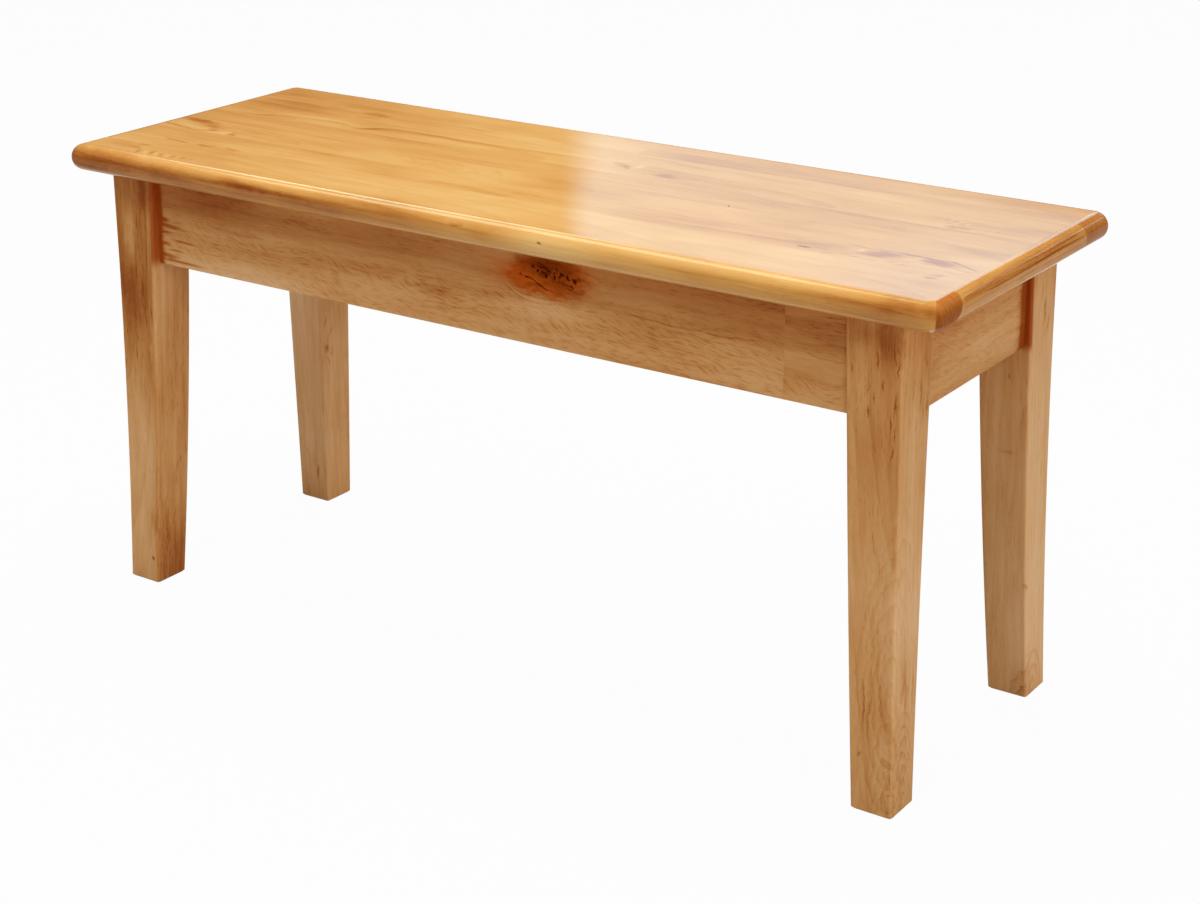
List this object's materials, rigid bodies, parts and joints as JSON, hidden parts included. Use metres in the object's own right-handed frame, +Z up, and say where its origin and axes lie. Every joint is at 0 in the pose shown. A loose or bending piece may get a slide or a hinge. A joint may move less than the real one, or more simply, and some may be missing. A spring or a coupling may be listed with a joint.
{
  "type": "dining bench",
  "caption": "Long backless wooden dining bench with a glued-up seat, half-round edges, aprons and tapered splayed legs, for sitting at a table.",
  "frame": {"origin": "on the floor, under the middle of the seat", "axes": "+X along the bench's length, +Y from the front towards the rear, +Z up"},
  "size_m": [0.942, 0.335, 0.457],
  "materials": {
    "seat_front_wood": "clear amber lacquer, satin gloss",
    "seat_rear_left_wood": "clear amber lacquer, satin gloss",
    "seat_rear_right_wood": "clear amber lacquer, satin gloss",
    "seat_core_1_wood": "clear amber lacquer, satin gloss",
    "seat_core_2_wood": "clear amber lacquer, satin gloss",
    "seat_core_3_wood": "clear amber lacquer, satin gloss",
    "seat_core_4_wood": "clear amber lacquer, satin gloss",
    "seat_core_5_wood": "clear amber lacquer, satin gloss",
    "seat_lipping_wood": "clear amber lacquer, satin gloss",
    "leg_front_left_wood": "clear amber lacquer, satin gloss",
    "leg_front_right_wood": "clear amber lacquer, satin gloss",
    "leg_rear_left_wood": "clear amber lacquer, satin gloss",
    "leg_rear_right_wood": "clear amber lacquer, satin gloss",
    "apron_front_long_wood": "clear amber lacquer, satin gloss",
    "apron_front_short_wood": "clear amber lacquer, satin gloss",
    "apron_rear_wood": "clear amber lacquer, satin gloss",
    "apron_left_wood": "clear amber lacquer, satin gloss",
    "apron_right_wood": "clear amber lacquer, satin gloss",
    "hidden_wood": "planed, unfinished",
    "screw_steel": "zinc plated"
  },
  "bodies": {
    "root": {"seat_front_stave": "seat_front_wood", "seat_rear_stave_left": "seat_rear_left_wood", "seat_rear_stave_right": "seat_rear_right_wood", "seat_core_stave_1": "seat_core_1_wood", "seat_core_stave_2": "seat_core_2_wood", "seat_core_stave_3": "seat_core_3_wood", "seat_core_stave_4": "seat_core_4_wood", "seat_core_stave_5": "seat_core_5_wood", "seat_end_lipping_left": "seat_lipping_wood", "seat_end_lipping_right": "seat_lipping_wood", "leg_front_left": "leg_front_left_wood", "leg_front_right": "leg_front_right_wood", "leg_rear_left": "leg_rear_left_wood", "leg_rear_right": "leg_rear_right_wood", "apron_front_long": "apron_front_long_wood", "apron_front_short": "apron_front_short_wood", "apron_rear": "apron_rear_wood", "apron_left": "apron_left_wood", "apron_right": "apron_right_wood", "corner_brace_front_left": "hidden_wood", "corner_brace_front_right": "hidden_wood", "corner_brace_rear_left": "hidden_wood", "corner_brace_rear_right": "hidden_wood", "cross_batten": "hidden_wood", "brace_screws": "screw_steel", "seat_screws": "screw_steel"}
  },
  "joints": []
}
